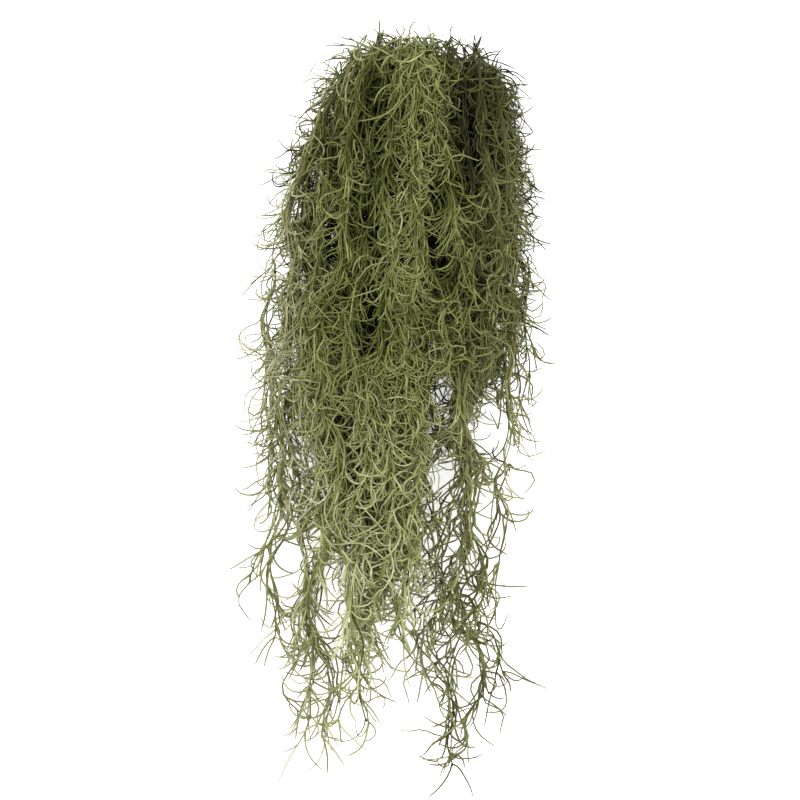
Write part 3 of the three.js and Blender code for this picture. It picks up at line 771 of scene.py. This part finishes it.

# %% [markdown]
# ## Light and shade between the leaves
# Leaves in the light look pale, and those deep in the bunch look dark. Where the upper locks draw apart, one
# looks into a dark hollow. The lamps of a scene give some of that. The rest is painted light and shade in the tone
# of each leaf, so the bunch also looks deep in flat light. In a hollow there are fewer leaves as well.

# %% Hollows and bare places
HOLLOWS = [  # x, mm down, half width and half height of the places where the upper locks draw apart
    (-16, 70, 19, 42),
    (-13, 130, 15, 38),
    (-26, 184, 15, 34),
    (71, 101, 20, 67),
    (-60, 112, 12, 58),
    (-22, 289, 20, 45),
    (-65, 215, 9, 36),
    (36, 209, 10, 24),
    (52, 150, 12, 28),
    (54, 240, 10, 24),
]
HOLLOW_BARE, HOLLOW_HIGH = 0.65, (0.4, 0.6)  # share of missing leaves, above these shares of the pile's height
OPENING_BARE = 0.8  # share of leaves that are missing where they would end in the middle of an opening


def inside_share(places, points):
    """1 in the middle of a place and 0 outside it: 1 - (distance from the middle)^4."""
    down = CROWN_Y - points[:, 1]
    inside = np.zeros(len(points))
    for x, middle, width, height in places:
        away = ((points[:, 0] - x) / width) ** 2 + ((down - middle) / height) ** 2
        inside = np.maximum(inside, 1 - away**2)
    return inside


def bare_at(points):
    """The chance that a leaf which reaches these points is missing: inside an opening, or high in a hollow."""
    high = points[:, 2] / read_table(PILE_HEIGHT, row_at(CROWN_Y - points[:, 1]))
    in_hollow = HOLLOW_BARE * inside_share(HOLLOWS, points) * smooth_step(high, *HOLLOW_HIGH)
    return np.maximum(in_hollow, OPENING_BARE * inside_share(OPENINGS, points))


print("hollows:", len(HOLLOWS), "the deepest runs", 2 * max(height for *_, height in HOLLOWS), "mm down")

# %% Paler and darker regions: painted light and shade
PAINTED_LIGHT_AND_TONE = [  # change in tone, most of it painted light and shade, and the curves of x, mm down or both that are multiplied to say where
    # the tails, painted paler as light comes through them, less so the right one, and darker at their ends
    (0.2, (smooth_step, "spread", 270, 470)),
    (-0.08, (smooth_step, "spread", 270, 470), (smooth_step, "x", 20, 50), (smooth_step, "down", 380, 460)),
    (-0.04, (smooth_step, "down", 540, 640)),
    (-0.16, (smooth_step, "down", 630, 710)),
    # the crown, with painted light left of its top and painted shade at its right
    (0.12, (smooth_step, "down", 40, 10), (smooth_step, "x", 40, 10)),
    (-0.1, (smooth_step, "down", 80, 30), (smooth_step, "x", 46, 70)),
    # painted light on both edges of the body, then the left edge lower down
    (0.12, (smooth_step, "out", 70, 105), (smooth_step, "down", 60, 140), (smooth_step, "down", 400, 300)),
    (-0.1, (smooth_step, "x", -85, -120), (smooth_step, "down", 330, 400)),
    (0.07, (smooth_step, "x", -80, -110), (smooth_step, "down", 420, 480)),
    # painted light in the middle, where the left tail leaves it
    (0.2, (bell, "x", -24, 38), (smooth_step, "down", 450, 540)),
    (-0.06, (bell, "x", -24, 38), (smooth_step, "down", 450, 540), (smooth_step, "down", 590, 640)),
    # painted shade on the right shoulder
    (-0.1, (bell, "x", 76, 26), (bell, "down", 205, 38)),
]
SPREAD_SHARE = 0.5  # the painted paleness of the tails reaches higher up at the edges: by this many mm for each mm from the middle


def painted_light_and_tone_at(x, down):
    """The sum over all regions of the change in tone times the product of its curves: painted light and shade for
    most regions.
    """
    measures = {"x": x, "out": abs(x), "down": down, "spread": down + SPREAD_SHARE * abs(x)}
    return sum(
        change * math.prod(curve(measures[measure], a, b) for curve, measure, a, b in curves)
        for change, *curves in PAINTED_LIGHT_AND_TONE
    )


print("regions that are paler or darker:", len(PAINTED_LIGHT_AND_TONE))

# %% The tone of a leaf
LOCK_PAINTED_LIGHT = {  # top locks painted paler or darker than the others, in the body: painted light on those in front, painted shade beside the hollows and at the right
    "top_lock_2": -0.05,
    "top_lock_3": -0.02,
    "top_lock_4": -0.08,
    "top_lock_5": 0.03,
    "top_lock_6": 0.06,
    "top_lock_7": 0.03,
    "top_lock_8": -0.09,
    "top_lock_9": -0.05,
    "top_lock_10": -0.03,
}
CORE_PAINTED_LIGHT, CORE_WIDTH = 0.22, 11.0  # painted light: how much paler in tone a lock's core is than its fringe, against the shade it casts on itself, and its width in mm
CORE_IN_BODY, CORE_GROWS = 0.4, (330, 480)  # share of that in the body, and mm down over which it becomes all
SHADED_BODY = (270, 440)  # mm down over which leaves lose the painted light of their lock and the painted shade of their depth
DEPTH_PAINTED_SHADE, DEPTH = 0.46, (0.15, 1.0)  # painted shade: how much darker at the bottom, and shares of the pile's height
HOLLOW_PAINTED_SHADE = 0.3  # painted shade: how much darker in tone a leaf is in the middle of a hollow


def tone_at(lock, points):
    """How pale a leaf is where it grows, before its own draw: 1/2, plus the painted light and shade of its lock
    and of its region, plus a paler painted core along the lock's middle, less painted shade for its depth in the
    body and in a hollow."""
    x, down = points[:, 0], CROWN_Y - points[:, 1]
    pile = read_table(PILE_HEIGHT, row_at(down)) * lock.mound
    depth = 1 - smooth_step(points[:, 2] / pile, *DEPTH)
    in_body = 1 - smooth_step(down, *SHADED_BODY)
    middle = lock.middle(down) + between_guides(HANG, lock.across, down)
    core = (bell(x, middle, CORE_WIDTH) - 0.5) * mixed((CORE_IN_BODY, 1), smooth_step(down, *CORE_GROWS))
    own = LOCK_PAINTED_LIGHT.get(lock.name, 0) * in_body + CORE_PAINTED_LIGHT * core
    hollow = HOLLOW_PAINTED_SHADE * inside_share(HOLLOWS, points)
    return 0.5 + own + painted_light_and_tone_at(x, down) - DEPTH_PAINTED_SHADE * depth * in_body - hollow


print("locks with a tone of their own:", len(LOCK_PAINTED_LIGHT))

# %% [markdown]
# ## Growing the locks
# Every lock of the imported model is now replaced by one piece. First the lines of its strands, side shoots and
# wisps are drawn, then stems and leaves grow on them. Most strands end in the body of the bunch. Only a few in
# each lock run on to the tails, and that makes the tails thin and lacy.

# %% Grow a stem
STEM_R, STEM_TAPER = (0.9, 0.75), (0, 700)  # mm: half the thickness at the crown and at the tip, and how far down
JOINT_SWELL = 1.3  # how much thicker a stem is at its joints
END_THIN = 0.4  # and at its two ends
TAIL_THICK = 0.28  # share by which stems and leaves are thicker in the tails, so that single ones still show
TAIL_BEGINS = (380, 480)  # mm down over which the body becomes the tails
STRAND_TONE, LEAF_TONE = 0.06, 0.05  # how much the tone differs from strand to strand and from leaf to leaf
STEM_DARKER = (0.05, 0.15)  # how much darker in tone a stem is than its leaves, in the body and in the tails
STEM_TONES, LEAF_TONES = (0.06, 0.94), (0.03, 0.94)  # the darkest and the palest on the map


def grow_stem(lock, line, along, in_tail, own_tone):
    """The stem of one strand, as a set of one tube with knots at the joints."""
    ticks = np.arange(len(line))
    radii = np.interp(CROWN_Y - line[:, 1], STEM_TAPER, STEM_R) * np.where(ticks % STEPS, 1, JOINT_SWELL)
    radii *= 1 + TAIL_THICK * in_tail
    radii[[0, -1]] *= END_THIN
    side, _ = cross_frame(along)
    tone = tone_at(lock, line) + own_tone - np.interp(in_tail, [0, 1], STEM_DARKER)
    v = np.where(ticks % STEPS, *STEM_V)
    return tubes(line[None], radii[None], side[None], np.clip(tone, *STEM_TONES)[None], v[None])


print("stems are", STEM_R[1], "to", STEM_R[0], "mm in radius")

# %% Grow the leaves
LEAVES = ([1, 2, 3, 4], [0.2, 0.4, 0.3, 0.1])  # leaves of a joint and how often
TAIL_BARE = 0.6  # how often a joint in the tails has one leaf less
EDGE_LEAVES = (0.6, 1.0)  # counted as EDGE_ZONE: leaves become those of the tails
LOOK_AHEAD = 2  # joints ahead, to see which way the stem takes
LEAF_R, LEAF_R_SPREAD = 0.88, (0.75, 1.1)  # mm: half the thickness, and shares of it
LEAF_PROFILE = np.array([1.15, 1.05, 1.02, 1.0, 0.96, 0.88, 0.7])  # from the root to the last ring
STUB_PROFILE = np.array([0.75, 0.7, 0.7, 0.8, 1.1, 1.4, 1.2])
MAP_ENDS = (0.03, 0.78)  # tones of the first strand's first and last leaf, so that every map is as wide


def root_joints(in_tail, rng):
    """The numbers of the points where leaves grow, one for each leaf. The last joint's leaves grow a step before
    the tip."""
    joints = np.minimum(np.arange(0, len(in_tail), STEPS), len(in_tail) - 2)
    leaves = rng.choice(LEAVES[0], len(joints), p=LEAVES[1])
    leaves = np.maximum(1, leaves - (rng.random(len(joints)) < TAIL_BARE * in_tail[joints]))
    return np.repeat(joints, leaves)


def grow_leaves(lock, line, along, in_tail, own_tone, first, rng):
    """The leaves of one strand, as a set of like tubes. The first one is kept even in a bare place."""
    joints = root_joints(in_tail, rng)
    edge = smooth_step(abs(2 * lock.across - 1), *EDGE_LEAVES)
    ahead = along[np.minimum(joints + LOOK_AHEAD * STEPS, len(line) - 1)]
    points, hinge, stub = leaf_lines(line[joints], along[joints], ahead, edge, in_tail[joints], rng)
    bare = np.max([bare_at(points[:, k]) for k in (0, LEAF_STEPS // 2, -1)], axis=0)
    kept = rng.random(len(joints)) > bare
    kept[0] = True
    joints, points, hinge, stub = joints[kept], points[kept], hinge[kept], stub[kept]
    radius = LEAF_R * rng.uniform(*LEAF_R_SPREAD, len(joints)) * (1 + TAIL_THICK * in_tail[joints])
    profile = np.where(stub[:, None], STUB_PROFILE, LEAF_PROFILE)
    radii = np.concatenate([radius[:, None] * profile, np.zeros((len(joints), 1))], axis=1)
    tones = tone_at(lock, line[joints]) + own_tone + rng.normal(0, LEAF_TONE, len(joints))
    if first:
        tones[[0, -1]] = MAP_ENDS
    tones = np.repeat(np.clip(tones, *LEAF_TONES)[:, None], LEAF_STEPS + 1, axis=1)
    v = np.broadcast_to(np.linspace(*LEAF_V, LEAF_STEPS + 1), tones.shape)
    return tubes(points, radii, hinge[:, None], tones, v)


def grow_strand(lock, line, first, rng):
    """The stem and the leaves of one strand, as two sets of tubes."""
    in_tail = smooth_step(CROWN_Y - line[:, 1], *TAIL_BEGINS)
    along = unit(np.gradient(line, axis=0))
    own_tone = rng.normal(0, STRAND_TONE)
    stem = grow_stem(lock, line, along, in_tail, own_tone)
    return stem, grow_leaves(lock, line, along, in_tail, own_tone, first, rng)


print("leaves at a joint:", round(float(np.dot(*LEAVES)), 1), "on average")

# %% Where strands start and end
TOP_STRANDS = (12, 14, 14, 10, 20, 22, 20, 9, 14, 14)  # strands of the top locks, from left to right
DENSITY = [0.33, 0.44, 0.66, 1, 1, 1, 1, 1, 0.85, 0.65, 0.45]  # share of the strands, across the bunch
BENT_START, STRAIGHT_START = (-18, 14), (-10, 40)  # mm along a lock where strands start, with and without a bend
LATE_START = (170, 330)  # the same for those that start below the shoulders
LATE = {  # share of a lock's strands that start there, because a hollow lies above them
    "top_lock_2": 0.2,
    "top_lock_4": 0.5,
    "top_lock_8": 0.5,
    "upper_lock_2": 0.3,
    "upper_lock_3": 0.4,
    "upper_lock_4": 0.4,
    "upper_lock_6": 0.3,
    "upper_lock_7": 0.4,
}
END_FIRST, END_SPREAD = (0.97, 1.02), (0.8, 0.98)  # shares of the lock's length: its first strand, the others
BODY_END = [315, 335, 400, 470, 480, 450, 380, 350, 318, 290, 275]  # mm down where most strands end, by across
BODY_FRAY = 60  # mm by which that varies
LONG_SHARE = [0.08, 0.14, 0.24, 0.3, 0.32, 0.26, 0.08, 0.02, 0.02, 0.02, 0.02]  # share that run on to the tails
SHORTEST_STRAND = 60  # mm


def strands_in(lock):
    """How many strands a lock has: fewer near the edges, where the bunch is thin."""
    if lock.layer == len(LAYERS):
        return lock.strands
    strands = TOP_STRANDS[lock.index] if lock.layer == len(LAYERS) - 1 else lock.strands
    return round(strands * float(across_table(DENSITY, lock.across)))


def strand_ends(lock, first, rng):
    """Where a strand starts and ends, in mm along its lock."""
    start = rng.uniform(*(BENT_START if lock.bend_length > 0 else STRAIGHT_START))
    if rng.random() < LATE.get(lock.name, 0):
        start = rng.uniform(*LATE_START)
    end = lock.length * rng.uniform(*(END_FIRST if first else END_SPREAD))
    if not first and rng.random() > across_table(LONG_SHARE, lock.across):
        body_end = across_table(BODY_END, lock.across) + rng.normal(0, BODY_FRAY)
        end = min(end, body_end - lock.run_start + lock.bend_length)
    return start, max(end, start + SHORTEST_STRAND)


counts = [strands_in(lock) for lock in locks]
print("strands in a lock:", min(counts), "to", max(counts), "and", sum(counts), "in all")


# %% The lines of a lock
def lock_lines(lock, rng):
    """The lines of a lock's strands, then of its side shoots, then of its wisps."""
    strands = strands_in(lock)
    lines = [strand_line(lock, *strand_ends(lock, number == 0, rng), rng) for number in range(strands)]
    shoots = round(SHOOTS * (1 + abs(2 * lock.across - 1)))
    for _ in range(LOOSE_STRANDS if lock.layer == len(LAYERS) else shoots):
        lines.append(side_shoot(lines[rng.integers(strands)], rng))
    return lines + [wisp_line(high, places, rng) for name, high, places in WISPS if name == lock.name]


print("lines of the first lock:", len(lock_lines(locks[0], np.random.default_rng(SEED))))

# %% The painted light and shade of a lock's moss
FRONT_LIFT, INNER_LIFT = 0.75, 0.5
BRIGHT_FROM, BRIGHT_TO = 0.23, 0.67  # across
PALE_TO, SHADED_FROM = 0.25, 0.75


def moss_light_and_shade(lock):
    """Painted light in front, in the middle of the bunch. Painted shade inside it and at its right, paler painted
    light at its left, and olive elsewhere."""
    if lock.lift >= FRONT_LIFT and BRIGHT_FROM < lock.across < BRIGHT_TO:
        return "moss_bright"
    if lock.lift == INNER_LIFT or (lock.lift > INNER_LIFT and lock.across > SHADED_FROM):
        return "moss_shaded"
    return "moss_pale" if lock.across < PALE_TO else "moss_olive"


kinds = [moss_light_and_shade(lock) for lock in locks]
print("locks of each kind:", {kind: kinds.count(kind) for kind in TONES})

# %% Grow every lock
triangles = []
for lock_number, lock in enumerate(locks):
    rng = np.random.default_rng(SEED + lock_number)
    parts = []
    for number, line in enumerate(lock_lines(lock, rng)):
        parts += grow_strand(lock, line, number == 0, rng)
    piece = make_mesh(lock.name + "_moss", parts)
    piece.data.materials.append(materials[moss_light_and_shade(lock)])
    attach(piece, "root")
    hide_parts(lock.name)
    moss_light_and_shade(lock)
    triangles.append(len(piece.data.polygons))
print("triangles:", sum(triangles), "in all, at most", max(triangles), "in a piece")

# %% [markdown]
# ## Floor, light and camera
# The bunch lies on a sheet of white paper that is wider than any view. The paper glows a little, so that it
# stays white under the bunch and its shadow stays soft. Light comes from a white sky all round, with a square
# lamp at the upper left that models the locks and a weaker one from the lower right. The camera looks straight
# down from a few metres, so the bunch isn't stretched by being near.

# %% Floor
FLOOR_HALF = 3.0  # metres
PAPER_ROUGHNESS, PAPER_GLOW = 0.9, 0.6
floor_mesh = bpy.data.meshes.new("floor")
corners = [(x * FLOOR_HALF, y * FLOOR_HALF, 0) for x, y in ((-1, -1), (1, -1), (1, 1), (-1, 1))]
floor_mesh.from_pydata(corners, [], [(0, 1, 2, 3)])
floor = bpy.data.objects.new("floor", floor_mesh)
bpy.context.scene.collection.objects.link(floor)
paper = bpy.data.materials.new("white_paper")  # pressed pulp: no gloss at all, white in any light
paper.use_nodes = True
paper_shader = paper.node_tree.nodes["Principled BSDF"]
paper_shader.inputs["Base Color"].default_value = srgb("#fafafa")
paper_shader.inputs["Roughness"].default_value = PAPER_ROUGHNESS
paper_shader.inputs["Emission Color"].default_value = (1, 1, 1, 1)
paper_shader.inputs["Emission Strength"].default_value = PAPER_GLOW
floor_mesh.materials.append(paper)
print("floor:", 2 * FLOOR_HALF, "m wide")

# %% Light
SKY_STRENGTH = 1.32
LIT_PLACE = (0, 0, 0.05)  # metres: the middle of the bunch
world = bpy.data.worlds.new("studio")
world.use_nodes = True
world.node_tree.nodes["Background"].inputs["Color"].default_value = (1, 1, 1, 1)
world.node_tree.nodes["Background"].inputs["Strength"].default_value = SKY_STRENGTH
bpy.context.scene.world = world


def area_light(name, place, size, watts):
    """A square light that looks at the middle of the bunch."""
    light = bpy.data.lights.new(name, "AREA")
    light.size, light.energy = size, watts
    lamp = bpy.data.objects.new(name, light)
    lamp.location = place
    direction = np.array(LIT_PLACE) - np.array(place)
    lamp.rotation_euler = Vector(direction).to_track_quat("-Z", "Y").to_euler()
    bpy.context.scene.collection.objects.link(lamp)


area_light("key", (-0.9, 0.7, 1.9), 1.0, 28)
area_light("fill", (1.1, -0.8, 1.4), 1.4, 12)

# %% Camera
CAMERA_HEIGHT, CAMERA_ASIDE = 3.2, (0.004, 0.010)  # metres above the floor, and out of the middle
SENSOR = 36  # mm
VIEW_WIDTH, VIEW_PLANE = 0.8, 0.07  # metres: how much is seen, at this height in the pile
FAR_END = 20
camera_data = bpy.data.cameras.new("camera")
camera_data.sensor_width = SENSOR
camera_data.lens = SENSOR * (CAMERA_HEIGHT - VIEW_PLANE) / VIEW_WIDTH
camera_data.clip_end = FAR_END
camera = bpy.data.objects.new("camera", camera_data)
camera.location = (*CAMERA_ASIDE, CAMERA_HEIGHT)
bpy.context.scene.collection.objects.link(camera)
bpy.context.scene.camera = camera
bpy.context.scene.view_settings.view_transform = "Standard"  # shows colours as they were mixed
print("camera:", round(camera_data.lens, 1), "mm lens at", CAMERA_HEIGHT, "m")
